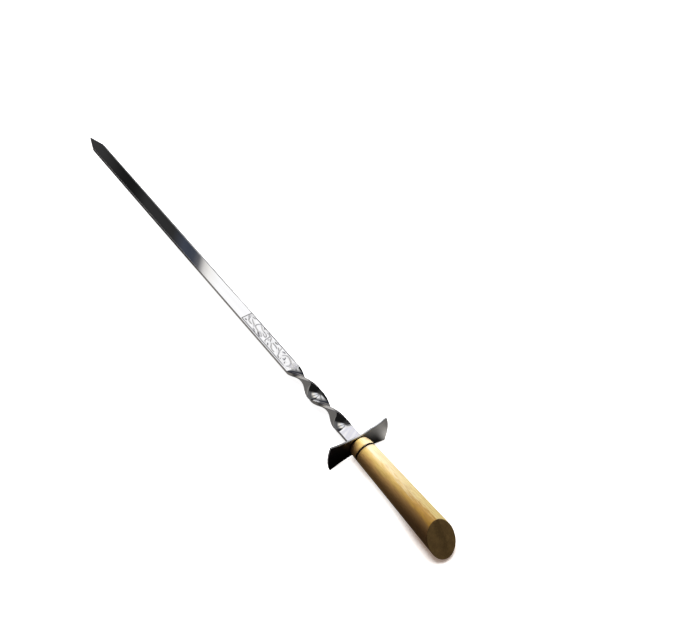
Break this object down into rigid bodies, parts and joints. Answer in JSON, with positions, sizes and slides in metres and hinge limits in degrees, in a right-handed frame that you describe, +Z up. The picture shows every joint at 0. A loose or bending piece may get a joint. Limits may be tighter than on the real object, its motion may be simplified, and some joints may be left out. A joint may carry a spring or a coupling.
{
  "type": "kebab skewer",
  "caption": "Flat stainless kebab skewer with a spear point, an engraved scroll, a full twist, a bow-tie guard plate and a turned wooden handle.",
  "frame": {"origin": "on the table under the middle of the skewer's box, with the skewer lying at rest", "axes": "+X along the skewer towards the handle, +Y across the blade, +Z up from the table"},
  "size_m": [0.58, 0.0564, 0.0274],
  "materials": {
    "steel": "polished stainless steel",
    "wood": "satin lacquer over a pale hardwood, with a burnt ring and a dark stained end",
    "epoxy": "cured resin"
  },
  "bodies": {
    "root": {"blade": "steel", "guard_plate": "steel", "handle": "wood", "tang_bond": "epoxy"}
  },
  "joints": []
}
